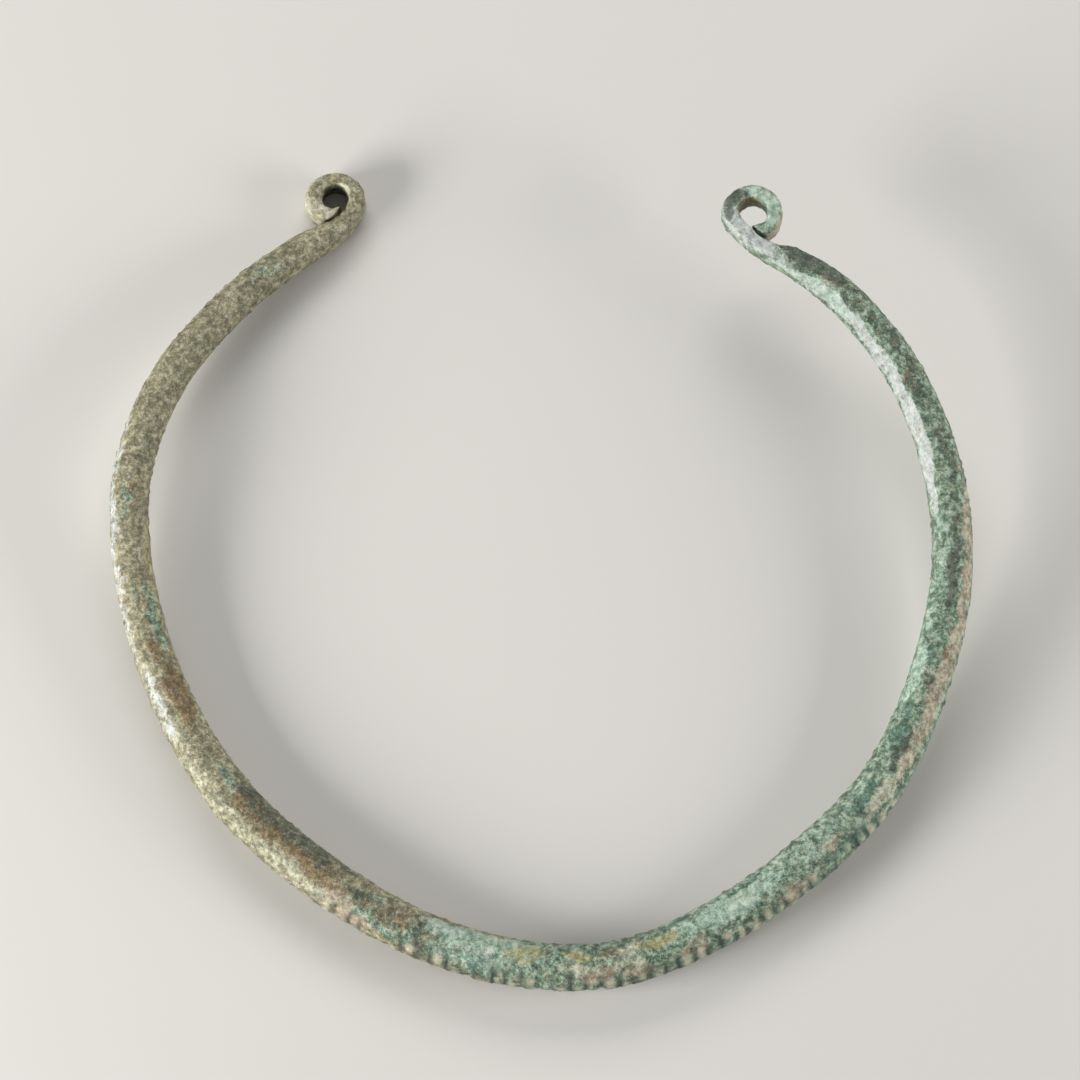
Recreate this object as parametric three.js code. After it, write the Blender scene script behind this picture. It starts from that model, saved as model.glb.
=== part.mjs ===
// A bronze neck ring: one bar, bent into an open hoop and thickest at the front.
// Each end is hammered to a flat strip and rolled outward into a small eye.
// Millimetres, +Z up. The ring lies on its side, as it does when loose: +Y points to
// the back of the neck, where the two eyes face each other, and +X to the right.
// The hoop isn't true: its left arm arches over the surface and its right arm
// climbs away from it, so it rests on its left eye and on two places at the front.

import * as THREE from 'three';
import { mergeVertices } from 'three/addons/utils/BufferGeometryUtils.js';

const { degToRad, radToDeg, lerp, smoothstep } = THREE.MathUtils;

// ---- Driving dimensions ------------------------------------------------------------

// Stations along the bar's axis, from the left neck to the right one. A bearing turns
// about the middle of the hoop, from the front towards +X, in degrees. The radius and
// the height place the axis; across is the bar's thickness in the plane of the hoop.
const HOOP = [
  { bearing: -141, radius: 67.6, height: 3.8, across: 5.6 },
  { bearing: -128, radius: 68.6, height: 5.3, across: 6.2 },
  { bearing: -112, radius: 70.5, height: 7.0, across: 6.5 },
  { bearing: -97, radius: 71.4, height: 7.7, across: 6.6 },
  { bearing: -83, radius: 70.6, height: 5.7, across: 6.7 },
  { bearing: -66, radius: 70.2, height: 4.1, across: 7.0 },
  { bearing: -48, radius: 71.3, height: 3.8, across: 7.8 },
  { bearing: -30, radius: 72.9, height: 4.3, across: 8.0 },
  { bearing: -14, radius: 76.0, height: 4.4, across: 7.8 },
  { bearing: 0, radius: 78.7, height: 4.25, across: 7.8 },
  { bearing: 11, radius: 79.5, height: 4.1, across: 7.5 },
  { bearing: 25, radius: 77.4, height: 4.0, across: 7.9 },
  { bearing: 38, radius: 75.8, height: 4.3, across: 8.1 },
  { bearing: 52, radius: 75.0, height: 5.0, across: 7.6 },
  { bearing: 68, radius: 72.9, height: 6.4, across: 7.3 },
  { bearing: 84, radius: 71.9, height: 8.8, across: 7.0 },
  { bearing: 99, radius: 70.2, height: 11.2, across: 6.7 },
  { bearing: 114, radius: 68.3, height: 12.9, across: 6.3 },
  { bearing: 128, radius: 65.8, height: 14.6, across: 6.0 },
];
const BAR_EXPONENT = 2.1;        // the bar's section: a hammered round
const STRIP_EXPONENT = 3.6;      // the strip's section: flat, with soft edges

// At each neck the bar narrows and flattens into its strip, which is then rolled once
// round its eye. The neck's points are in plan, each with its thickness. The rest of
// the strip starts at an angle round the eye, anticlockwise from +X, and sweeps round
// it. Its thickness is given at even steps from the neck to the tip, and the tip
// stands further from the eye's centre as the spread says. The tip is cut on a slant,
// to lie along the neck.
const LEFT_END = {
  height: 2.7,
  deep: 5.2,
  neck: [[-37.3, 55.9, 4.2], [-34.5, 58.4, 2.9]],
  centre: [-36.6, 62.5],
  bore: 4.8,
  from: 0,
  sweep: 297,
  thickness: [2.8, 2.2, 3.2, 2.5],
  spread: -0.5,
  slant: 50,
};
const RIGHT_END = {
  height: 15.3,
  deep: 5.2,
  neck: [[43.9, 46.1, 4.6], [39.5, 47.95, 2.7], [36.2, 50.4, 2.5]],
  centre: [37.05, 54.55],
  bore: 5.2,
  from: 180,
  sweep: -267,
  thickness: [2.8, 2.5, 2.5, 2.2],
  spread: -0.05,
  slant: 37,
};
const SLANT_LENGTH = 6;          // length of strip over which the slant builds up
const TIP_CROWN = 0.25;          // how far the cut tip stands proud in its middle

// Grooves cut side by side across the outer face of the front. They run out on the top
// and on the underside, and were cut by hand and are worn, so their depth and spacing
// waver.
const GROOVES = {
  from: -27,                     // bearings between which the grooves lie
  to: 52,
  pitch: 2.55,
  width: 1.3,
  depth: 0.26,
  waver: 0.25,                   // share by which the depth and the place waver
  under: [-85, -50],             // angles round the bar over which they run out:
  over: [25, 60],                // 0 faces out, 90 up and -90 down
};

const SEAT_DEPTH = 0.15;         // how far the resting places are worn flat
const SIDES = 18;                // flats round the bar; one of them faces down
const HOOP_STEP = 3.2;           // spacing of the rings of vertices along the bar
const EYE_STEP = 1.15;           // and along each rolled end
const EYE_LENGTH = 22;           // length of bar that takes the finer step
const EYE_STATIONS = 8;

// ---- The bar's axis and section ----------------------------------------------------

function hoopStation({ bearing, radius, height, across }) {
  const turn = degToRad(bearing);
  return {
    point: new THREE.Vector3(radius * Math.sin(turn), -radius * Math.cos(turn), height),
    section: new THREE.Vector3(across, across, BAR_EXPONENT),
  };
}

// The neck eases from the hoop's nearest station into the strip.
function neckStations(end, { point, section }) {
  return end.neck.map(([x, y, across], i) => {
    const share = (i + 1) / end.neck.length;
    return {
      point: new THREE.Vector3(x, y, lerp(point.z, end.height, share)),
      section: new THREE.Vector3(
        across,
        lerp(section.y, end.deep, share),
        lerp(BAR_EXPONENT, STRIP_EXPONENT, share),
      ),
    };
  });
}

// The value at a share of the way along a list of evenly spaced values.
function between(values, share) {
  const place = share * (values.length - 1);
  const i = Math.min(Math.floor(place), values.length - 2);
  return lerp(values[i], values[i + 1], place - i);
}

function eyeStations({ height, deep, centre, bore, from, sweep, thickness, spread }) {
  return Array.from({ length: EYE_STATIONS + 1 }, (_, i) => {
    const share = i / EYE_STATIONS;
    const across = between(thickness, share);
    const angle = degToRad(from + sweep * share);
    const reach = (bore + across) / 2 + spread * share ** 3;
    return {
      point: new THREE.Vector3(
        centre[0] + reach * Math.cos(angle),
        centre[1] + reach * Math.sin(angle),
        height,
      ),
      section: new THREE.Vector3(across, deep, STRIP_EXPONENT),
    };
  });
}

const hoop = HOOP.map(hoopStation);
const stations = [
  ...eyeStations(LEFT_END).reverse(),
  ...neckStations(LEFT_END, hoop.at(0)).reverse(),
  ...hoop,
  ...neckStations(RIGHT_END, hoop.at(-1)),
  ...eyeStations(RIGHT_END),
];

// Both curves take the same parameter: one places the axis and the other gives the
// section there, as its thickness across, its thickness upwards and its exponent.
const axis = new THREE.CatmullRomCurve3(stations.map((s) => s.point), false, 'centripetal');
const sections = new THREE.CatmullRomCurve3(stations.map((s) => s.section));
axis.arcLengthDivisions = 2000;
const length = axis.getLength();

// ---- Rings of vertices along the bar -----------------------------------------------

// Distance along the axis at which the bar first passes a bearing.
function distanceAt(bearing) {
  const spots = axis.getSpacedPoints(axis.arcLengthDivisions);
  const passed = spots.findIndex(({ x, y }) => Math.atan2(x, -y) >= degToRad(bearing)
    && y < 0);
  return (passed / axis.arcLengthDivisions) * length;
}

// Plain rings between two distances, spaced evenly and no further apart than the step.
function plainRings(from, to, step) {
  const count = Math.ceil((to - from) / step);
  return Array.from({ length: count }, (_, i) => ({
    distance: lerp(from, to, i / count),
    cut: 0,
  }));
}

// Three rings for each groove: its near edge, its bottom and its far edge.
function grooveRings(from, to) {
  const { pitch, width, depth, waver } = GROOVES;
  return Array.from({ length: Math.floor((to - from) / pitch) }, (_, i) => {
    const shift = waver * width * Math.sin(2.4 * i);
    const middle = from + pitch * (i + 0.5) + shift;
    const cut = depth * (1 + waver * Math.sin(1.7 * i + 1));
    return [
      { distance: middle - width / 2, cut: 0 },
      { distance: middle, cut },
      { distance: middle + width / 2, cut: 0 },
    ];
  }).flat();
}

const grooveStart = distanceAt(GROOVES.from);
const grooveEnd = distanceAt(GROOVES.to);
const rings = [
  ...plainRings(0, EYE_LENGTH, EYE_STEP),
  ...plainRings(EYE_LENGTH, grooveStart, HOOP_STEP),
  ...grooveRings(grooveStart, grooveEnd),
  ...plainRings(grooveEnd, length - EYE_LENGTH, HOOP_STEP),
  ...plainRings(length - EYE_LENGTH, length, EYE_STEP),
  { distance: length, cut: 0 },
].map(({ distance, cut }) => {
  const nearLeft = Math.max(1 - distance / SLANT_LENGTH, 0);
  const nearRight = Math.max(1 - (length - distance) / SLANT_LENGTH, 0);
  return {
    distance,
    cut,
    lean: nearLeft * Math.tan(degToRad(LEFT_END.slant))
      - nearRight * Math.tan(degToRad(RIGHT_END.slant)),
  };
});

// Where the bar is at a distance along it: the middle of its section, and the
// directions along it, outward from the hoop and up.
function placeAt(distance) {
  const t = axis.getUtoTmapping(distance / length);
  const along = axis.getTangent(t);
  const out = along.clone().cross(new THREE.Vector3(0, 0, 1)).normalize();
  return {
    middle: axis.getPoint(t),
    section: sections.getPoint(t),
    along,
    out,
    up: out.clone().cross(along),
  };
}

// ---- The solid ---------------------------------------------------------------------

// How much of a groove's depth is left at an angle round the bar.
function grooveShare(angle) {
  const { under, over } = GROOVES;
  return smoothstep(angle, ...under) * (1 - smoothstep(angle, ...over));
}

// A point of a ring at an angle round the bar, on a superellipse: its exponent is 2 for
// an ellipse, and a larger one squares it off. A ring that leans is set back along the
// bar, more the further the point is from the face that looks into the eye.
function ringPoint({ distance, cut, lean }, angle) {
  const { section } = placeAt(distance);
  const power = 2 / section.z;
  const reach = (value) => Math.sign(value) * Math.abs(value) ** power;
  const outward = (section.x / 2) * reach(Math.cos(angle));
  const upward = (section.y / 2) * reach(Math.sin(angle));
  const left = 1 - (cut * grooveShare(radToDeg(angle))) / Math.hypot(outward, upward);
  const { middle, out, up } = placeAt(distance + lean * (section.x / 2 - outward));
  return middle
    .addScaledVector(out, outward * left)
    .addScaledVector(up, upward * left);
}

// The middle of a tip's end face, crowned outwards along the bar.
function tipPoint({ distance, lean }, crown) {
  const { section } = placeAt(distance);
  const { middle, along } = placeAt(distance + lean * (section.x / 2));
  return middle.addScaledVector(along, crown);
}

// A straight cylinder is bent onto the axis, ring by ring. Its own axis is y, its first
// ring is at the top, and the middle of each end cap becomes the crown of a tip.
function barGeometry() {
  const last = rings.length - 1;
  const bar = new THREE.CylinderGeometry(1, 1, 1, SIDES, last);
  const place = bar.getAttribute('position');
  for (let i = 0; i < place.count; i += 1) {
    const k = Math.round((0.5 - place.getY(i)) * last);
    const onAxis = Math.hypot(place.getX(i), place.getZ(i)) < 0.5;
    const point = onAxis
      ? tipPoint(rings[k], k === 0 ? -TIP_CROWN : TIP_CROWN)
      : ringPoint(rings[k], Math.atan2(place.getX(i), place.getZ(i)));
    place.setXYZ(i, point.x, point.y, Math.max(point.z - SEAT_DEPTH, 0));
  }
  bar.deleteAttribute('normal');
  bar.deleteAttribute('uv');
  const closed = mergeVertices(bar);
  closed.computeVertexNormals();
  return closed;
}

// The origin is under the middle of the ring's box, on the surface that it lies on.
function centred(geometry) {
  geometry.computeBoundingBox();
  const middle = geometry.boundingBox.getCenter(new THREE.Vector3());
  return geometry.translate(-middle.x, -middle.y, 0);
}

const bronze = new THREE.MeshStandardMaterial({
  name: 'patinated_bronze',
  color: '#7d8474',
  roughness: 0.72,
  metalness: 0.35,
});

const torc = new THREE.Mesh(centred(barGeometry()), bronze);
torc.name = 'torc';

const ring = new THREE.Group();
ring.name = 'neck_ring';
ring.add(torc);

export default ring;
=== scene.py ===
"""A bronze torc: an open neck ring of one tapering bar, with both ends rolled into small eyes.

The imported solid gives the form. Its rings are read back and refined into a close mesh, which is
pitted, faceted and worn, and dressed in a mottled burial patina.
"""

import itertools
import logging
import math
from collections.abc import Mapping
from dataclasses import dataclass, field
from enum import Enum

import bpy
import numpy as np
from mathutils import Matrix, Vector

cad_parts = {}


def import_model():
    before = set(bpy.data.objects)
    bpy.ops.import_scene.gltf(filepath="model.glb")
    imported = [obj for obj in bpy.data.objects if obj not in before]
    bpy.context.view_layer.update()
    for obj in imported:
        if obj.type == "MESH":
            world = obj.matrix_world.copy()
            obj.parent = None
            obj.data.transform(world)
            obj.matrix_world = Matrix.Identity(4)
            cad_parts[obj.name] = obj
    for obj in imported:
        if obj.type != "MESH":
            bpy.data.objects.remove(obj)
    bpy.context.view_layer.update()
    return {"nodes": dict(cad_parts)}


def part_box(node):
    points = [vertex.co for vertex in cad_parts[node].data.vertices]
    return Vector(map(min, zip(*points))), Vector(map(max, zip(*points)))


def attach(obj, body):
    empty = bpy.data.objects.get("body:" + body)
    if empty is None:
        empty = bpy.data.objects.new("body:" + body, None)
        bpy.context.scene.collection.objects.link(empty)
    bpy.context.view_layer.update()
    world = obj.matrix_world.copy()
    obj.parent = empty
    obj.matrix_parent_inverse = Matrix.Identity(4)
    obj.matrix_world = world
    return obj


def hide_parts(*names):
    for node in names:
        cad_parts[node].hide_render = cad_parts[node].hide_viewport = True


log = logging.getLogger("torc")
MM = 0.001
Settings = Mapping[str, object]


def linear(code: str) -> tuple[float, float, float, float]:
    """Turn an sRGB hex colour to linear.

    Args:
        code: The colour, such as "#8a8468".

    Returns:
        Linear red, green and blue, and an alpha of one.
    """
    parts = (int(code[i : i + 2], 16) / 255 for i in (1, 3, 5))
    red, green, blue = (p / 12.92 if p <= 0.04045 else ((p + 0.055) / 1.055) ** 2.4 for p in parts)
    return red, green, blue, 1.0


def per_metre(size_mm: float) -> float:
    """Return the scale of a noise whose grains are size_mm across."""
    return 1 / (size_mm * MM)


def add_node(
    tree: bpy.types.NodeTree,
    kind: str,
    settings: Settings | None = None,
    inputs: Mapping[str | int, object] | None = None,
) -> bpy.types.Node:
    """Add a node with its settings and links.

    Args:
        tree: The node tree that gets the node.
        kind: The node's type name.
        settings: Values of the node's own properties.
        inputs: For each input, by name or place, a value or the output that is linked to it.

    Returns:
        The new node.
    """
    node = tree.nodes.new(kind)
    for name, value in (settings or {}).items():
        setattr(node, name, value)
    for key, value in (inputs or {}).items():
        if isinstance(value, bpy.types.NodeSocket):
            tree.links.new(value, node.inputs[key])
        else:
            node.inputs[key].default_value = value
    return node


def smooth_step(low: float, high: float, value: np.ndarray) -> np.ndarray:
    """Rise smoothly from 0 at low to 1 at high."""
    share = np.clip((value - low) / (high - low), 0, 1)
    return share * share * (3 - 2 * share)


class GradientNoise:
    """Gradient noise in three dimensions, the same at every run."""

    SIZE = 256
    GAIN = 1.7  # brings the values near -1 to 1

    def __init__(self, seed: int) -> None:
        """Draw the lattice.

        Args:
            seed: Picks the pattern.
        """
        draw = np.random.default_rng(seed)
        self.order = draw.permutation(self.SIZE)
        slopes = draw.normal(size=(self.SIZE, 3))
        self.slopes = slopes / np.linalg.norm(slopes, axis=1, keepdims=True)

    def at(self, points: np.ndarray, grain: float) -> np.ndarray:
        """Return the noise at the points.

        Args:
            points: Places in mm, with x, y and z last.
            grain: The size of one lump in mm.

        Returns:
            Values from about -1 to 1.
        """
        place = points / grain
        cell = np.floor(place).astype(int)
        inside = place - cell
        fade = inside**3 * (inside * (inside * 6 - 15) + 10)
        total = np.zeros(points.shape[:-1])
        for corner in itertools.product((0, 1), repeat=3):
            step = np.array(corner)
            index = np.zeros(points.shape[:-1], dtype=int)
            for axis in range(3):
                index = self.order[(index + cell[..., axis] + step[axis]) % self.SIZE]
            weight = np.prod(np.where(step, fade, 1 - fade), axis=-1)
            total += weight * np.sum(self.slopes[index] * (inside - step), axis=-1)
        return total * self.GAIN


class Patina(Enum):
    """The kinds of corrosion and soil on the bronze, in the order they lie on each other. The pale one
    also paints a highlight on the right arm's inner flat, and the dark one paints shade inside the
    left eye.
    """

    GREEN = "green"
    CREAM = "cream"
    PALE_AND_HIGHLIGHT = "pale"
    BLUSH = "blush"
    MINT = "mint"
    TEAL = "teal"
    OCHRE = "ochre"
    RUST = "rust"
    DARK = "dark"


class Origin(Enum):
    """What a place along the bar is measured from."""

    FRONT = "degrees about the ring's middle from the front, positive to the right"
    LEFT_TIP = "mm along the bar from the left tip"
    RIGHT_TIP = "mm along the bar from the right tip"


@dataclass(frozen=True)
class Patch:
    """A patch of one patina.

    Attributes:
        kind: Its patina.
        at: Its middle along the bar, measured as origin says.
        angle: Its middle round the bar: 0 outside, 90 on top, 180 inside.
        length: Half its length along the bar, in mm.
        arc: Half its width round the bar, in degrees.
        strength: 1 covers the ground, less leaves it broken up.
        origin: What at is measured from.
    """

    kind: Patina
    at: float
    angle: float
    length: float
    arc: float
    strength: float = 1.0
    origin: Origin = Origin.FRONT


@dataclass(frozen=True)
class Facet:
    """A flat left by the hammer, on a stretch of the bar.

    Attributes:
        start: Bearing where it starts, in degrees.
        end: Bearing where it ends.
        angle: The way it faces: 0 outside, 90 on top, 180 inside.
        depth: How far it is set in, in mm.
    """

    start: float
    end: float
    angle: float
    depth: float


@dataclass
class BarSkin:
    """The bar's surface as a close grid of rings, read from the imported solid.

    Attributes:
        node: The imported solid.
        sides: Points round each ring of the grid.
        spacing: Distance between its rings, in mm.
        middle: The point in plan that bearings turn about, in mm.
        eye_length: Length of bar at each end that bearings don't reach, in mm.
        points: The grid, ring by ring, in mm.
        poles: The points that close the two tips.
        centres: The middle of each ring of the grid.
        along: Each ring's distance from the left tip.
        angle: Each side's angle: 0 outside, 90 on top, 180 inside.
        out: At each ring, the direction out of the hoop.
        up: At each ring, the direction up, square to the bar.
    """

    node: bpy.types.Object
    sides: int = 70
    spacing: float = 0.312
    middle: tuple[float, float] = (-0.07, 4.17)
    eye_length: float = 35.0
    points: np.ndarray = field(init=False)
    poles: np.ndarray = field(init=False)
    centres: np.ndarray = field(init=False)
    along: np.ndarray = field(init=False)
    angle: np.ndarray = field(init=False)
    out: np.ndarray = field(init=False)
    up: np.ndarray = field(init=False)

    def __post_init__(self) -> None:
        """Read the solid's rings and refine them."""
        rings, self.poles = self.read_rings()
        rings = self.refine_round(rings)
        centres = rings.mean(axis=1)
        steps = np.linalg.norm(np.diff(centres, axis=0), axis=1)
        distance = np.concatenate([[0], np.cumsum(steps)])
        count = int(distance[-1] / self.spacing) + 1
        self.along = np.linspace(0, distance[-1], count)
        self.points = self.refine_along(rings, distance)
        self.centres = self.points.mean(axis=1)
        self.angle = np.arange(self.sides) * 360 / self.sides
        self.place_axes()

    def read_rings(self) -> tuple[np.ndarray, np.ndarray]:
        """Read the rings of the solid in order, from the left tip to the right one.

        Returns:
            The rings, each from the outside over the top, and the two points that close the tips.
        """
        mesh = self.node.data
        raw = np.array([v.co[:] for v in mesh.vertices]) / MM
        spots, same = np.unique(raw.round(4), axis=0, return_inverse=True)
        same = same.ravel()
        near: list[set[int]] = [set() for _ in spots]
        for face in mesh.polygons:
            corners = [int(same[i]) for i in face.vertices]
            for a, b in itertools.permutations(corners, 2):
                near[a].add(b)
        poles = sorted(np.argsort([-len(n) for n in near])[:2], key=lambda i: spots[i][0])
        layers = [[int(poles[0])]]
        seen = set(layers[0])
        while len(seen) < len(spots):
            layer = sorted({b for a in layers[-1] for b in near[a]} - seen)
            seen.update(layer)
            layers.append(layer)
        rings = [self.in_order(layer, near) for layer in layers[1:-1]]
        centres = np.array([spots[ring].mean(axis=0) for ring in rings])
        ahead = np.gradient(centres, axis=0)
        turned = []
        for ring, centre, way in zip(rings, centres, ahead):
            outside = np.array([way[1], -way[0], 0])
            first = int(np.argmax((spots[ring] - centre) @ outside))
            ring = ring[first:] + ring[:first]
            if spots[ring[len(ring) // 4]][2] < spots[ring[-(len(ring) // 4)]][2]:
                ring = ring[:1] + ring[:0:-1]
            turned.append(spots[ring])
        return np.array(turned), spots[[int(i) for i in poles]]

    @staticmethod
    def in_order(layer: list[int], near: list[set[int]]) -> list[int]:
        """Put the points of one ring in their order round it.

        Args:
            layer: The points of the ring.
            near: For each point, the points that it shares an edge with.

        Returns:
            The points, each beside the next.
        """
        members = set(layer)
        ring = [layer[0]]
        while len(ring) < len(layer):
            free = sorted((near[ring[-1]] & members) - set(ring))
            ring.append(free[0])
        return ring

    def refine_round(self, rings: np.ndarray) -> np.ndarray:
        """Put more points on each ring, on a smooth closed curve through its own."""
        count = rings.shape[1]
        place = np.arange(self.sides) * count / self.sides
        first = np.floor(place).astype(int)
        t = (place - first)[None, :, None]
        a, b, c, d = (rings[:, (first + k) % count] for k in (-1, 0, 1, 2))
        bend = (2 * a - 5 * b + 4 * c - d) * t**2 + (3 * b - a - 3 * c + d) * t**3
        return b + 0.5 * ((c - a) * t + bend)

    def refine_along(self, rings: np.ndarray, distance: np.ndarray) -> np.ndarray:
        """Put rings at even distances, on smooth curves through the solid's own.

        Args:
            rings: The solid's rings.
            distance: Their distances along the bar.

        Returns:
            The rings of the grid.
        """
        gap = np.diff(distance)[:, None, None]
        slope = np.diff(rings, axis=0) / gap
        inner = (slope[:-1] * gap[1:] + slope[1:] * gap[:-1]) / (gap[1:] + gap[:-1])
        tangent = np.concatenate([slope[:1], inner, slope[-1:]])
        index = np.clip(np.searchsorted(distance, self.along, "right") - 1, 0, len(gap) - 1)
        h = gap[index]
        t = (self.along - distance[index])[:, None, None] / h
        a, b = rings[index], rings[index + 1]
        m, n = tangent[index] * h, tangent[index + 1] * h
        return (
            (2 * t**3 - 3 * t**2 + 1) * a
            + (t**3 - 2 * t**2 + t) * m
            + (3 * t**2 - 2 * t**3) * b
            + (t**3 - t**2) * n
        )

    def place_axes(self) -> None:
        """Give each ring the directions out of the hoop and up, square to the bar."""
        ahead = np.gradient(self.centres, axis=0)
        ahead /= np.linalg.norm(ahead, axis=1, keepdims=True)
        out = np.stack([ahead[:, 1], -ahead[:, 0], np.zeros(len(ahead))], axis=1)
        self.out = out / np.linalg.norm(out, axis=1, keepdims=True)
        self.up = np.cross(self.out, ahead)

    def normals(self) -> np.ndarray:
        """Return the outward normal at each point of the grid."""
        ahead = np.gradient(self.points, axis=0)
        around = np.roll(self.points, -1, axis=1) - np.roll(self.points, 1, axis=1)
        normal = np.cross(around, ahead)
        return normal / np.maximum(np.linalg.norm(normal, axis=2, keepdims=True), 1e-9)

    def bearings(self) -> np.ndarray:
        """Return each ring's bearing about the middle: 0 at the front, positive to the right."""
        east = self.centres[:, 0] - self.middle[0]
        south = self.middle[1] - self.centres[:, 1]
        return np.degrees(np.unwrap(np.arctan2(east, south)))

    def distance_of(self, at: float, origin: Origin) -> float:
        """Return the distance from the left tip of a place on the bar."""
        if origin is Origin.LEFT_TIP:
            return at
        if origin is Origin.RIGHT_TIP:
            return self.along[-1] - at
        last = self.along[-1] - self.eye_length
        hoop = (self.along > self.eye_length) & (self.along < last)
        return float(np.interp(at, self.bearings()[hoop], self.along[hoop]))


@dataclass
class Relief:
    """What burial, wear and the hammer left on the surface, in mm. It only ever cuts in.

    Attributes:
        lumps: Size and height of each grade of lump in the corroded skin.
        pit_size: Size of the pits.
        pit_depth: Their depth.
        crowding: Size of the areas that have many pits or few.
        crust_size: Size of the plates of crust.
        crust_height: Their height.
        wear_size: Size of the areas where the grooves are worn.
        groove_depth: Depth of the solid's grooves, which tells where they are.
        groove_reach: Distance from a groove within which the bar's own skin is met.
        groove_cut: How much deeper they are cut here, and how much wear changes that.
        grooved: Bearings between which they lie, in degrees.
        facets: The flats left by the hammer.
    """

    lumps: tuple[tuple[float, float], ...] = ((4.2, 0.05), (2.1, 0.045), (1.1, 0.05), (0.75, 0.045))
    pit_size: float = 1.1
    pit_depth: float = 0.16
    crowding: float = 16.0
    crust_size: float = 4.5
    crust_height: float = 0.06
    wear_size: float = 5.0
    groove_depth: float = 0.26
    groove_reach: float = 1.4
    groove_cut: tuple[float, float] = (0.22, 0.35)
    grooved: tuple[float, float] = (-33.0, 59.0)
    facets: tuple[Facet, ...] = (
        Facet(90, 108, 146, 0.5),
        Facet(104, 122, 143, 0.6),
        Facet(118, 134, 140, 0.6),
        Facet(129, 145, 146, 0.5),
        Facet(-76, -60, 40, 0.16),
        Facet(56, 72, 38, 0.20),
        Facet(70, 92, 30, 0.16),
    )

    def cut_facets(self, skin: BarSkin) -> None:
        """Plane the hammered flats onto the bar."""
        for flat in self.facets:
            low, high = (skin.distance_of(b, Origin.FRONT) for b in (flat.start, flat.end))
            fade = 0.3 * (high - low)
            window = smooth_step(low, low + fade, skin.along) * smooth_step(
                high, high - fade, skin.along
            )
            turn = math.radians(flat.angle)
            way = skin.out * math.cos(turn) + skin.up * math.sin(turn)
            reach = np.einsum("ijk,ik->ij", skin.points - skin.centres[:, None], way)
            limit = reach.max(axis=1, keepdims=True) - flat.depth
            over = np.maximum(reach - limit, 0) * window[:, None]
            skin.points = skin.points - over[..., None] * way[:, None]

    def groove_share(self, skin: BarSkin) -> np.ndarray:
        """Return how deep in a groove each point lies: 0 on the bar's skin, 1 at the bottom."""
        radius = np.linalg.norm(skin.points - skin.centres[:, None], axis=2)
        reach = round(self.groove_reach / skin.spacing)
        padded = np.pad(radius, ((reach, reach), (0, 0)), mode="edge")
        rows = len(radius)
        crest = np.max([padded[k : k + rows] for k in range(2 * reach + 1)], axis=0)
        bearing = skin.bearings()
        first, last = self.grooved
        front = smooth_step(first, first + 3, bearing) * smooth_step(last, last - 3, bearing)
        return np.clip((crest - radius) / self.groove_depth, 0, 1) * front[:, None]

    def carve(self, skin: BarSkin) -> dict[str, np.ndarray]:
        """Roughen the skin.

        Args:
            skin: The bar's surface, whose points are moved in.

        Returns:
            Named masks for the material: where grooves, pits and rubbed ridges are.
        """
        groove = self.groove_share(skin)
        self.cut_facets(skin)
        place = skin.points.copy()
        height = np.zeros(groove.shape)
        for seed, (size, tall) in enumerate(self.lumps):
            height += tall * GradientNoise(10 + seed).at(place, size)
        pits = smooth_step(0.28, 0.55, GradientNoise(21).at(place, self.pit_size))
        many = smooth_step(-0.35, 0.3, GradientNoise(22).at(place, self.crowding))
        pits = pits * (0.35 + 0.65 * many)
        edge = GradientNoise(31).at(place, self.crust_size)
        edge = edge + 0.35 * GradientNoise(32).at(place, 1.3)
        crust = smooth_step(-0.02, 0.1, edge)
        worn = GradientNoise(41).at(place, self.wear_size)
        height += self.crust_height * (crust - 1) - self.pit_depth * pits
        height -= groove * (self.groove_cut[0] + self.groove_cut[1] * worn)
        height = np.minimum(height - np.percentile(height, 97), 0)
        skin.points = skin.points + height[..., None] * skin.normals()
        return {"groove": self.strokes(groove, worn), "pit": pits, "ridge": self.ridges(skin, groove)}

    def strokes(self, groove: np.ndarray, worn: np.ndarray) -> np.ndarray:
        """Return where the grooves still hold dark soil."""
        return groove * smooth_step(-0.45, 0.1, worn)

    def ridges(self, skin: BarSkin, groove: np.ndarray) -> np.ndarray:
        """Return where the ridges between the grooves are rubbed pale."""
        reach = round(1.6 / skin.spacing)
        rows = len(groove)
        padded = np.pad(groove, ((reach, reach), (0, 0)))
        near = np.max([padded[k : k + rows] for k in range(2 * reach + 1)], axis=0)
        rubbed = smooth_step(-0.1, 0.35, GradientNoise(43).at(skin.points, 3.2))
        return smooth_step(0.3, 0.9, near) * (1 - smooth_step(0, 0.35, groove)) * rubbed


@dataclass
class PatinaMap:
    """Where each patina lies on the bar.

    Attributes:
        warp: How far the patches' edges wander, in mm along the bar.
        wander: How many degrees round the bar they wander for each of those mm.
        grain: Size of their bays and tongues, in mm.
        patches: The patches, arm by arm.
    """

    warp: float = 1.6
    wander: float = 10.0
    grain: float = 4.0
    patches: tuple[Patch, ...] = ()

    def masks(self, skin: BarSkin) -> dict[str, np.ndarray]:
        """Spread the patches over the grid.

        Args:
            skin: The bar's surface.

        Returns:
            For each patina, its cover at each point, from 0 to 1.
        """
        drift = GradientNoise(51).at(skin.points, self.grain)
        twist = GradientNoise(52).at(skin.points, self.grain)
        along = skin.along[:, None] + self.warp * drift
        angle = skin.angle[None, :] + self.wander * self.warp * twist
        cover = {kind.value: np.zeros(along.shape) for kind in Patina}
        for patch in self.patches:
            far = (along - skin.distance_of(patch.at, patch.origin)) / patch.length
            turn = (angle - patch.angle + 180) % 360 - 180
            reach = np.hypot(far, turn / patch.arc)
            here = patch.strength * smooth_step(1.35, 0.55, reach)
            cover[patch.kind.value] = np.maximum(cover[patch.kind.value], here)
        return cover


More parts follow.
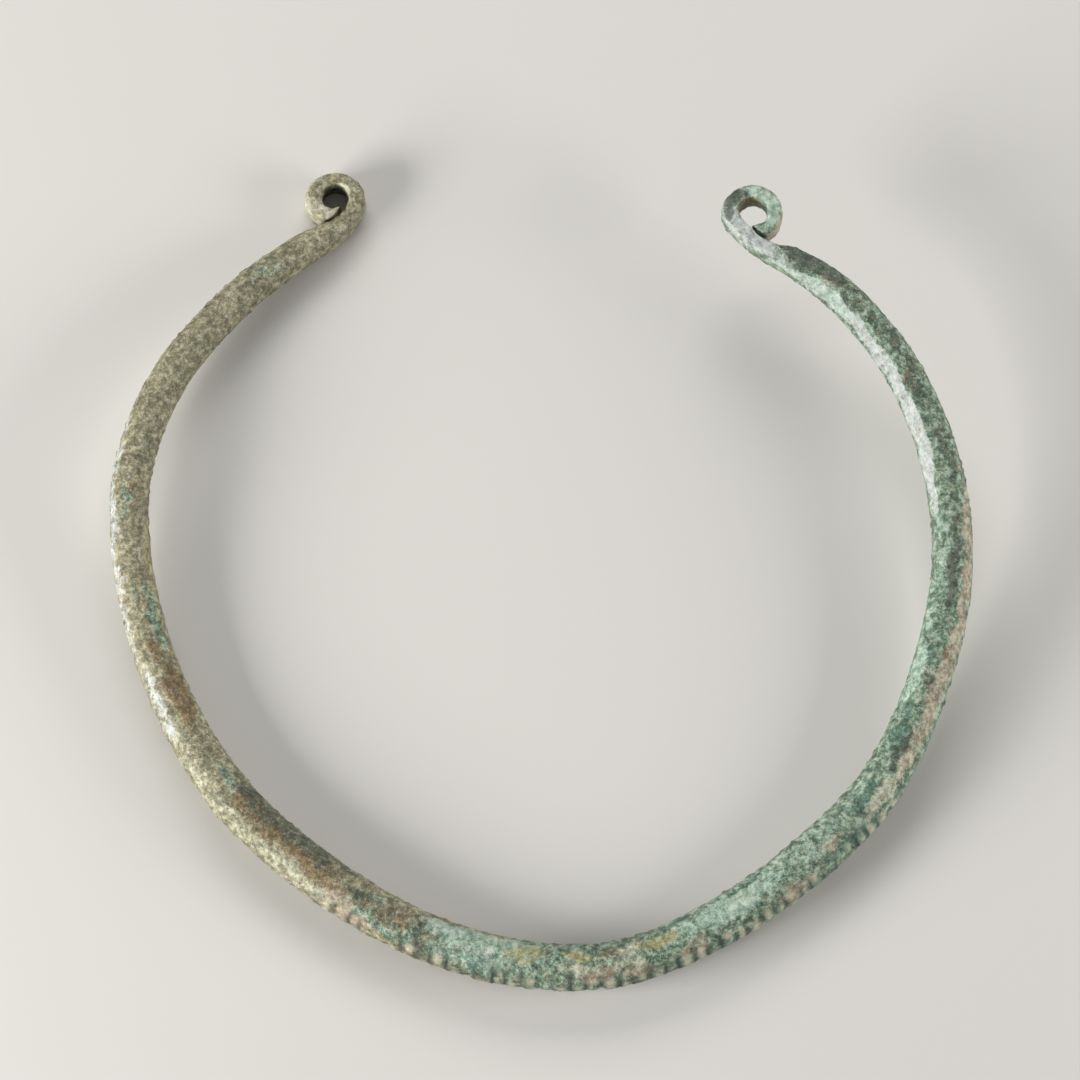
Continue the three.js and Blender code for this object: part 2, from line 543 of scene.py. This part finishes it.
@dataclass(frozen=True)
class BuriedBronze:
    """Leaded tin bronze, cast and hammered, then long buried.

    The metal itself doesn't show. What meets the eye is its corrosion: a dull olive to grey-green
    skin of copper salts, mottled like coarse sand and flecked with paler salt and darker soil. It
    is stained by pale lime crust, teal and mint bloom, rust from nearby iron and yellow soil. It
    is matt in the salts and satin where the skin is close.

    Attributes:
        mottle_mm: Size of the largest mottling of the skin. Its finest octave is the gritty grain.
        speck_mm: Size of the pale and dark specks of salt and soil on it.
        stain_mm: Size of the largest teeth along the stains' edges.
        olive: The skin on the left arm, from its hollows to its grains.
        green: The skin at the front and on the right arm.
        stains: For each other patina, its darker and its lighter colour and its thickness. The dark
            one also paints shade inside the left eye, and the pale one a highlight on the right arm.
        flecks: For the specks, their colour, where in the noise they start and are full, and
            their thickness.
        hollows: For each mask of the relief, its colour and its thickness.
        teeth: How strongly the noise breaks up a stain's edge.
        edge: Where in the sum of noise and mask a stain starts and is full.
    """

    mottle_mm: float = 1.3
    speck_mm: float = 0.55
    stain_mm: float = 2.0
    olive: tuple[str, ...] = ("#5b5741", "#767156", "#908b6d", "#b5af90")
    green: tuple[str, ...] = ("#34493b", "#587059", "#7e9880", "#aebcaa")
    stains: tuple[tuple[Patina, str, str, float], ...] = (
        (Patina.CREAM, "#a29d80", "#dedac4", 0.72),
        # The pale stain is grey crust, and on the right arm's inner flat it also paints a highlight.
        (Patina.PALE_AND_HIGHLIGHT, "#a3aaa4", "#d4d8d2", 0.92),
        (Patina.BLUSH, "#927e68", "#cfbaa4", 0.6),
        (Patina.MINT, "#84a58f", "#cadccb", 0.72),
        (Patina.TEAL, "#244a3a", "#5a8570", 0.8),
        (Patina.OCHRE, "#7d7344", "#bbb27c", 0.75),
        (Patina.RUST, "#48391d", "#87663a", 0.75),
        # The dark stain is soil, and inside the left eye it also paints shade.
        (Patina.DARK, "#28332a", "#535c4a", 0.8),
    )
    flecks: tuple[tuple[str, float, float, float], ...] = (
        ("#dfdccb", 0.57, 0.63, 0.32),
        ("#2f3225", 0.43, 0.37, 0.45),
    )
    hollows: tuple[tuple[str, str, float], ...] = (
        ("pit", "#3a3526", 0.42),
        ("groove", "#22332b", 0.88),
        ("ridge", "#cdc2ab", 0.6),
    )
    teeth: float = 3.2
    edge: tuple[float, float] = (1.85, 2.45)

    def build(self) -> bpy.types.Material:
        """Build the material.

        Returns:
            The material, which reads the patinas' covers from the mesh.
        """
        material = bpy.data.materials.new("buried_bronze")
        material.use_nodes = True
        tree = material.node_tree
        tree.nodes.clear()
        place = add_node(tree, "ShaderNodeTexCoord").outputs["Object"]
        mottle = self.noise(tree, place, self.mottle_mm, 0)
        skins = [self.skin(tree, mottle, codes) for codes in (self.olive, self.green)]
        cover = self.cover(tree, place, Patina.GREEN, 1)
        colour = self.lay_over(tree, cover, skins[0], skins[1])
        for layer, (kind, dark, light, thick) in enumerate(self.stains, start=2):
            cover = self.cover(tree, place, kind, layer)
            share = add_node(tree, "ShaderNodeMath", {"operation": "MULTIPLY"}, {0: cover, 1: thick})
            hue = self.skin(tree, mottle, (dark, light))
            colour = self.lay_over(tree, share.outputs[0], colour, hue)
        colour = self.speckle(tree, place, colour)
        colour = self.shade_hollows(tree, colour)
        rough = add_node(
            tree,
            "ShaderNodeMapRange",
            inputs={"Value": mottle, "From Min": 0.4, "From Max": 0.6, "To Min": 0.48, "To Max": 0.75},
        )
        bump = add_node(
            tree, "ShaderNodeBump", inputs={"Height": mottle, "Distance": 0.4 * MM, "Strength": 0.9}
        )
        shader = add_node(
            tree,
            "ShaderNodeBsdfPrincipled",
            inputs={
                "Base Color": colour,
                "Roughness": rough.outputs["Result"],
                "Metallic": 0.08,
                "Normal": bump.outputs["Normal"],
            },
        )
        add_node(tree, "ShaderNodeOutputMaterial", inputs={"Surface": shader.outputs["BSDF"]})
        return material

    def lay_over(
        self,
        tree: bpy.types.NodeTree,
        share: bpy.types.NodeSocket,
        ground: bpy.types.NodeSocket,
        cover: object,
    ) -> bpy.types.NodeSocket:
        """Lay one colour over another.

        Args:
            tree: The material's nodes.
            share: How far the upper one covers, from 0 to 1.
            ground: The colour beneath.
            cover: The colour on top, as a value or an output.

        Returns:
            The joined colour.
        """
        inputs = {0: share, 6: ground, 7: cover}
        return add_node(tree, "ShaderNodeMix", {"data_type": "RGBA"}, inputs).outputs[2]

    def noise(
        self, tree: bpy.types.NodeTree, place: bpy.types.NodeSocket, size_mm: float, layer: int
    ) -> bpy.types.NodeSocket:
        """Add a fractal noise whose octaves are nearly as strong as each other.

        Args:
            tree: The material's nodes.
            place: The point on the object.
            size_mm: Size of its largest lumps.
            layer: Picks the pattern.

        Returns:
            The noise, about 0.5.
        """
        shifted = add_node(
            tree,
            "ShaderNodeVectorMath",
            {"operation": "ADD"},
            {0: place, 1: (0.37 * layer, 0.71 * layer, 0.13 * layer)},
        )
        node = add_node(
            tree,
            "ShaderNodeTexNoise",
            inputs={
                "Vector": shifted.outputs["Vector"],
                "Scale": per_metre(size_mm),
                "Detail": 4.0,
                "Roughness": 0.85,
            },
        )
        return node.outputs["Fac"]

    def skin(
        self, tree: bpy.types.NodeTree, mottle: bpy.types.NodeSocket, codes: tuple[str, ...]
    ) -> bpy.types.NodeSocket:
        """Colour the mottling.

        Args:
            tree: The material's nodes.
            mottle: The noise that mottles the skin.
            codes: Its colours from dark to light.

        Returns:
            The colour.
        """
        ramp = add_node(tree, "ShaderNodeValToRGB", inputs={"Fac": mottle})
        stops = ramp.color_ramp.elements
        for _ in codes[2:]:
            stops.new(0.5)
        for place, (stop, code) in enumerate(zip(stops, codes)):
            stop.position = 0.39 + 0.22 * place / (len(codes) - 1)
            stop.color = linear(code)
        return ramp.outputs["Color"]

    def cover(
        self,
        tree: bpy.types.NodeTree,
        place: bpy.types.NodeSocket,
        kind: Patina,
        layer: int,
    ) -> bpy.types.NodeSocket:
        """Break the edges of a patina up into spots.

        Args:
            tree: The material's nodes.
            place: The point on the object.
            kind: The patina.
            layer: Picks the pattern of the spots.

        Returns:
            How far the patina covers the ground, from 0 to 1.
        """
        mask = add_node(tree, "ShaderNodeAttribute", {"attribute_name": kind.value})
        teeth = self.noise(tree, place, self.stain_mm, layer)
        lifted = add_node(
            tree,
            "ShaderNodeMath",
            {"operation": "MULTIPLY_ADD"},
            {0: teeth, 1: self.teeth, 2: mask.outputs["Fac"]},
        )
        edge = add_node(
            tree,
            "ShaderNodeMapRange",
            {"interpolation_type": "SMOOTHSTEP"},
            {"Value": lifted.outputs[0], "From Min": self.edge[0], "From Max": self.edge[1]},
        )
        return edge.outputs["Result"]

    def speckle(
        self,
        tree: bpy.types.NodeTree,
        place: bpy.types.NodeSocket,
        colour: bpy.types.NodeSocket,
    ) -> bpy.types.NodeSocket:
        """Scatter pale specks of salt and dark specks of soil.

        Args:
            tree: The material's nodes.
            place: The point on the object.
            colour: The colour beneath them.

        Returns:
            The colour with the specks.
        """
        grain = self.noise(tree, place, self.speck_mm, 20)
        for code, low, high, most in self.flecks:
            share = add_node(
                tree,
                "ShaderNodeMapRange",
                inputs={"Value": grain, "From Min": low, "From Max": high, "To Max": most},
            )
            colour = self.lay_over(tree, share.outputs["Result"], colour, linear(code))
        return colour

    def shade_hollows(
        self, tree: bpy.types.NodeTree, colour: bpy.types.NodeSocket
    ) -> bpy.types.NodeSocket:
        """Darken the soil held in the pits and grooves, and pale the rubbed ridges.

        Args:
            tree: The material's nodes.
            colour: The colour of the skin.

        Returns:
            The colour with both.
        """
        for name, code, most in self.hollows:
            mask = add_node(tree, "ShaderNodeAttribute", {"attribute_name": name})
            share = add_node(
                tree,
                "ShaderNodeMapRange",
                inputs={"Value": mask.outputs["Fac"], "To Max": most},
            )
            colour = self.lay_over(tree, share.outputs["Result"], colour, linear(code))
        return colour


@dataclass
class Torc:
    """The neck ring itself.

    Attributes:
        node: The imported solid.
        relief: What is left on its surface.
        patina: Where its patinas lie.
        finish: Its material.
        cap: Shares of the way from the rim of a tip to its middle, where the tip gets rings.
    """

    node: bpy.types.Object
    relief: Relief
    patina: PatinaMap
    finish: BuriedBronze
    cap: tuple[float, ...] = (0.1, 0.3, 0.6)

    def build(self) -> bpy.types.Object:
        """Build the dressed ring in the place of the solid.

        Returns:
            The ring.
        """
        low, high = (np.array(corner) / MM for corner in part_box(self.node.name))
        skin = BarSkin(self.node)
        masks = self.relief.carve(skin)
        masks.update(self.patina.masks(skin))
        skin.points = np.clip(skin.points, low, high)
        ring = self.mesh_of(skin, masks)
        ring.data.materials.append(self.finish.build())
        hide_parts(self.node.name)
        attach(ring, "root")
        return ring

    def mesh_of(self, skin: BarSkin, masks: dict[str, np.ndarray]) -> bpy.types.Object:
        """Make the closed mesh of the grid, with its masks.

        Args:
            skin: The bar's surface.
            masks: Named values at each point of the grid.

        Returns:
            The mesh object.
        """
        rows = list(skin.points)
        ends = ((0, skin.poles[0]), (-1, skin.poles[1]))
        caps = [[rows[i] + (pole - rows[i]) * share for share in self.cap] for i, pole in ends]
        rings = caps[0][::-1] + rows + caps[1]
        count, sides = len(rings), skin.sides
        spots = np.concatenate([*rings, skin.poles]) * MM
        side = np.arange(sides)
        after = (side + 1) % sides
        start = np.arange(count - 1)[:, None] * sides
        quads = np.stack(
            [start + side, start + after, start + sides + after, start + sides + side], axis=-1
        )
        faces = quads.reshape(-1, 4).tolist()
        first, last = count * sides, count * sides + 1
        faces += [(first, int(b), int(a)) for a, b in zip(side, after)]
        base = (count - 1) * sides
        faces += [(last, int(base + a), int(base + b)) for a, b in zip(side, after)]
        mesh = bpy.data.meshes.new("torc_bronze")
        mesh.from_pydata(spots.tolist(), [], faces)
        mesh.polygons.foreach_set("use_smooth", [True] * len(mesh.polygons))
        extra = len(self.cap)
        for name, values in masks.items():
            spread = np.concatenate([values[:1]] * extra + [values] + [values[-1:]] * extra)
            flat = np.concatenate([spread.ravel(), [values[0].mean(), values[-1].mean()]])
            layer = mesh.attributes.new(name, "FLOAT", "POINT")
            layer.data.foreach_set("value", flat.astype(np.float32))
        mesh.update()
        ring = bpy.data.objects.new("torc_bronze", mesh)
        bpy.context.scene.collection.objects.link(ring)
        return ring


@dataclass(frozen=True)
class Softbox:
    """A plain soft light.

    Attributes:
        name: What it is called.
        place: Where it hangs, in metres.
        size: Its width and height, in metres.
        power: Its power in watts.
    """

    name: str
    place: tuple[float, float, float]
    size: tuple[float, float]
    power: float

    def build(self, aim: Vector) -> None:
        """Hang the light, turned to the point aim."""
        light = bpy.data.lights.new(self.name, "AREA")
        light.shape = "RECTANGLE"
        light.size, light.size_y = self.size
        light.energy = self.power
        lamp = bpy.data.objects.new(self.name, light)
        lamp.location = self.place
        lamp.rotation_euler = (aim - lamp.location).to_track_quat("-Z", "Y").to_euler()
        bpy.context.scene.collection.objects.link(lamp)


@dataclass
class Studio:
    """The plain pale floor, the soft lights and the camera.

    Attributes:
        floor_side: Side of the floor, in metres.
        floor_colour: Matt pale grey card.
        sky_colour: The weak light from all round.
        distance: From the camera to the ring's middle, in metres.
        swing: The camera's bearing from the front, in degrees.
        height: Its angle above the floor.
        lens: Focal length in mm, on a 36 mm sensor.
        aim: The ring's middle on the floor, in metres.
    """

    floor_side: float = 6.0
    floor_colour: str = "#cfccc6"
    sky_colour: str = "#f2f4f5"
    sky_strength: float = 0.2
    distance: float = 1.566
    swing: float = 4.7
    height: float = 70.0
    lens: float = 300.0
    aim: Vector = field(default_factory=lambda: Vector((-0.00024, 0.00787, 0.0)))
    lights: tuple[Softbox, ...] = (
        Softbox("key_left", (-0.58, -0.27, 0.22), (0.36, 0.24), 6.4),
        Softbox("rim_right", (0.63, -0.13, 0.22), (0.34, 0.22), 3.1),
        Softbox("back", (-0.06, 0.60, 0.44), (0.60, 0.30), 3.1),
    )

    def build(self) -> None:
        """Build the studio."""
        self.lay_floor()
        self.light_sky()
        for light in self.lights:
            light.build(self.aim)
        self.place_camera()
        bpy.context.scene.view_settings.view_transform = "Standard"

    def lay_floor(self) -> None:
        """Lay the floor, which isn't part of the object."""
        half = self.floor_side / 2
        mesh = bpy.data.meshes.new("floor")
        corners = [(-half, -half, 0), (half, -half, 0), (half, half, 0), (-half, half, 0)]
        mesh.from_pydata(corners, [], [(0, 1, 2, 3)])
        floor = bpy.data.objects.new("floor", mesh)
        bpy.context.scene.collection.objects.link(floor)
        material = bpy.data.materials.new("matt_card")
        material.use_nodes = True
        shader = material.node_tree.nodes["Principled BSDF"]
        shader.inputs["Base Color"].default_value = linear(self.floor_colour)
        shader.inputs["Roughness"].default_value = 0.9
        mesh.materials.append(material)

    def light_sky(self) -> None:
        """Light the room evenly and weakly."""
        world = bpy.data.worlds.new("room")
        world.use_nodes = True
        ground = world.node_tree.nodes["Background"]
        ground.inputs["Color"].default_value = linear(self.sky_colour)
        ground.inputs["Strength"].default_value = self.sky_strength
        bpy.context.scene.world = world

    def place_camera(self) -> None:
        """Stand the camera in front and above, level with the ring's left and right."""
        turn, tilt = math.radians(self.swing), math.radians(self.height)
        back = Vector(
            (math.sin(turn) * math.cos(tilt), -math.cos(turn) * math.cos(tilt), math.sin(tilt))
        )
        roll = math.atan(-math.tan(turn) * math.sin(tilt))
        side = Vector((math.cos(turn), math.sin(turn), 0))
        upward = back.cross(side)
        right = side * math.cos(roll) + upward * math.sin(roll)
        above = upward * math.cos(roll) - side * math.sin(roll)
        view = Matrix((right, above, back)).transposed().to_4x4()
        view.translation = self.aim + back * self.distance
        lens = bpy.data.cameras.new("camera")
        lens.lens = self.lens
        lens.sensor_width = 36.0
        lens.clip_start, lens.clip_end = 0.05, 50.0
        camera = bpy.data.objects.new("camera", lens)
        camera.matrix_world = view
        bpy.context.scene.collection.objects.link(camera)
        bpy.context.scene.camera = camera


P = Patina
LEFT_ARM = (
    Patch(P.GREEN, -136, 92, 5, 45, 0.4),
    Patch(P.GREEN, -96, 80, 4, 18, 0.5),
    Patch(P.TEAL, -96, 80, 2, 10, 0.45),
    Patch(P.TEAL, -83, 78, 2.5, 10, 0.5),
    Patch(P.GREEN, -79, 120, 7, 22, 0.7),
    Patch(P.PALE_AND_HIGHLIGHT, -92, 24, 26, 30, 0.6),
    Patch(P.CREAM, -78, 30, 9, 26, 0.5),
    Patch(P.BLUSH, -84, 30, 4, 14, 0.75),
    Patch(P.OCHRE, -89, 142, 6, 16, 0.6),
    Patch(P.RUST, -97, 100, 3, 16, 0.55),
    Patch(P.RUST, -73, 95, 3, 16, 0.7),
    Patch(P.PALE_AND_HIGHLIGHT, -66, 38, 7, 26, 0.65),
    Patch(P.RUST, -67, 112, 7, 34, 0.95),
    Patch(P.RUST, -62, 95, 3, 14, 0.6),
)
LEFT_EYE = (
    Patch(P.CREAM, 6, 150, 7, 55, 0.9, Origin.LEFT_TIP),
    Patch(P.CREAM, 1.5, 95, 3.5, 70, 0.85, Origin.LEFT_TIP),
    Patch(P.OCHRE, 1.5, 120, 2, 40, 0.6, Origin.LEFT_TIP),
    Patch(P.CREAM, 14.5, 45, 3.5, 35, 0.9, Origin.LEFT_TIP),
    Patch(P.RUST, 21, 40, 2.6, 30, 1.0, Origin.LEFT_TIP),
    # Painted shade: this dark patch on the wall that faces into the eye's hole paints the shadow
    # inside the eye.
    Patch(P.DARK, 10.5, 0, 4.5, 45, 0.9, Origin.LEFT_TIP),
)
RIGHT_EYE = (
    Patch(P.GREEN, 10, 90, 22, 400, 0.9, Origin.RIGHT_TIP),
    Patch(P.PALE_AND_HIGHLIGHT, 22, 100, 8, 75, 0.95, Origin.RIGHT_TIP),
    Patch(P.MINT, 6, 80, 7, 60, 0.75, Origin.RIGHT_TIP),
    Patch(P.DARK, 14.8, 95, 3.5, 38, 0.9, Origin.RIGHT_TIP),
    Patch(P.BLUSH, 3.5, 165, 4, 42, 0.9, Origin.RIGHT_TIP),
    Patch(P.RUST, 13, 0, 4.5, 45, 0.95, Origin.RIGHT_TIP),
    Patch(P.OCHRE, 10, 0, 3, 40, 0.6, Origin.RIGHT_TIP),
)
FRONT_LEFT = (
    Patch(P.CREAM, -54, 42, 18, 30, 0.45),
    Patch(P.CREAM, -38, 40, 14, 30, 0.5),
    Patch(P.TEAL, -50, 103, 3, 14, 0.7),
    Patch(P.MINT, -51, 98, 4, 14, 0.6),
    Patch(P.DARK, -44, 112, 9, 24, 0.7),
    Patch(P.DARK, -40, 138, 16, 26, 0.9),
    Patch(P.RUST, -44, 96, 9, 30, 0.75),
    Patch(P.RUST, -40, 96, 3.5, 14, 1.0),
    Patch(P.RUST, -37, 86, 2.6, 10, 0.85),
    Patch(P.DARK, -35, 112, 8, 26, 0.7),
    Patch(P.RUST, -33, 90, 8, 34, 0.8),
    Patch(P.RUST, -32, 86, 3, 12, 0.95),
    Patch(P.BLUSH, -27, 62, 4, 16, 0.7),
    Patch(P.DARK, -25, 96, 3.5, 16, 0.7),
    Patch(P.BLUSH, -25, 28, 7, 16, 0.8),
    Patch(P.GREEN, -21, 70, 8, 40, 0.9),
    Patch(P.MINT, -22, 100, 4, 16, 0.75),
    Patch(P.RUST, -21, 84, 7, 30, 0.75),
)
FRONT = (
    Patch(P.MINT, -8, 70, 9, 60, 0.6),
    Patch(P.TEAL, -8, 60, 10, 75, 0.5),
    Patch(P.DARK, -15.3, 62, 1.2, 60, 1.1),
    Patch(P.MINT, -8, 112, 10, 34, 1.3),
    Patch(P.PALE_AND_HIGHLIGHT, -12, 118, 5, 16, 0.9),
    Patch(P.PALE_AND_HIGHLIGHT, -7, 70, 2.5, 22, 0.75),
    Patch(P.TEAL, -10, 46, 6, 26, 0.7),
    Patch(P.CREAM, -12.6, 40, 0.7, 20, 1.1),
    Patch(P.MINT, -8, 56, 4, 18, 0.9),
    Patch(P.BLUSH, -6, 84, 2, 9, 0.9),
    Patch(P.BLUSH, -4.5, 32, 1.0, 22, 1.0),
    Patch(P.BLUSH, -2.4, 32, 1.0, 22, 1.0),
    Patch(P.OCHRE, -1.5, 98, 3.5, 18, 0.8),
    Patch(P.GREEN, 15, 70, 30, 240, 0.9),
    Patch(P.OCHRE, 5.5, 102, 3, 15, 1.0),
    Patch(P.RUST, 9.8, 104, 2.5, 14, 0.6),
    Patch(P.CREAM, 12.3, 99, 2.6, 15, 1.05),
    Patch(P.OCHRE, 16.5, 96, 3.6, 18, 1.0),
    Patch(P.CREAM, 8, 68, 7, 18, 0.7),
    Patch(P.BLUSH, 8.5, 48, 3, 20, 0.85),
    Patch(P.BLUSH, 13, 44, 3, 20, 0.85),
    Patch(P.BLUSH, 20, 50, 3, 18, 0.8),
    Patch(P.MINT, 26, 96, 13, 28, 0.95),
    Patch(P.CREAM, 28.7, 95, 3, 16, 0.95),
    Patch(P.TEAL, 20, 128, 2.6, 10, 1.0),
    Patch(P.TEAL, 30, 128, 3.5, 8, 0.9),
)
FRONT_RIGHT = (
    Patch(P.GREEN, 60, 84, 60, 300, 0.95),
    Patch(P.MINT, 42, 110, 18, 32, 0.45),
    Patch(P.BLUSH, 36, 34, 5, 22, 0.8),
    Patch(P.TEAL, 45.5, 40, 5, 16, 0.95),
    Patch(P.BLUSH, 43, 76, 3, 16, 0.75),
    Patch(P.TEAL, 51, 92, 4, 16, 0.95),
    Patch(P.CREAM, 52, 56, 6, 20, 0.8),
    Patch(P.CREAM, 57.5, 52, 3, 16, 1.05),
    Patch(P.DARK, 58.5, 80, 4.5, 14, 0.95),
    Patch(P.TEAL, 62, 102, 5, 18, 0.85),
    Patch(P.BLUSH, 68, 48, 14, 30, 0.95),
    Patch(P.MINT, 69, 128, 8, 20, 0.9),
    Patch(P.RUST, 70, 98, 3, 14, 0.5),
)
RIGHT_ARM = (
    Patch(P.GREEN, 112, 90, 60, 400, 0.95),
    Patch(P.BLUSH, 84, 34, 20, 26, 0.95),
    Patch(P.RUST, 74, 58, 2, 12, 0.8),
    Patch(P.CREAM, 76, 58, 2.2, 12, 0.9),
    Patch(P.DARK, 86, 86, 9, 15, 1.0),
    Patch(P.TEAL, 73, 106, 2.5, 14, 0.9),
    Patch(P.MINT, 86, 130, 16, 26, 0.5),
    Patch(P.RUST, 92, 78, 2.2, 10, 0.7),
    # Painted highlight: these two pale patches, set stronger than full cover, paint the left light's
    # bright sheen on the inner flat, over a paler crust there.
    Patch(P.PALE_AND_HIGHLIGHT, 112, 146, 24, 29, 1.6),
    Patch(P.PALE_AND_HIGHLIGHT, 131, 146, 14, 30, 1.2),
    Patch(P.MINT, 133, 142, 10, 30, 0.8),
    Patch(P.DARK, 112, 76, 20, 34, 0.62),
    Patch(P.RUST, 114, 90, 3, 14, 0.6),
    Patch(P.DARK, 128, 104, 3.5, 14, 0.85),
    Patch(P.BLUSH, 132, 84, 3, 24, 0.6),
    Patch(P.DARK, 137, 60, 8, 40, 1.2),
)


def main() -> None:
    """Build the torc and its studio."""
    logging.basicConfig(level=logging.INFO, format="%(name)s: %(message)s")
    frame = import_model()
    patches = LEFT_EYE + LEFT_ARM + FRONT_LEFT + FRONT + FRONT_RIGHT + RIGHT_ARM + RIGHT_EYE
    torc = Torc(frame["nodes"]["torc"], Relief(), PatinaMap(patches=patches), BuriedBronze())
    ring = torc.build()
    log.info("%s: %d faces", ring.name, len(ring.data.polygons))
    Studio().build()
    log.info("studio: floor, lights and camera")


if __name__ == "__main__":
    main()
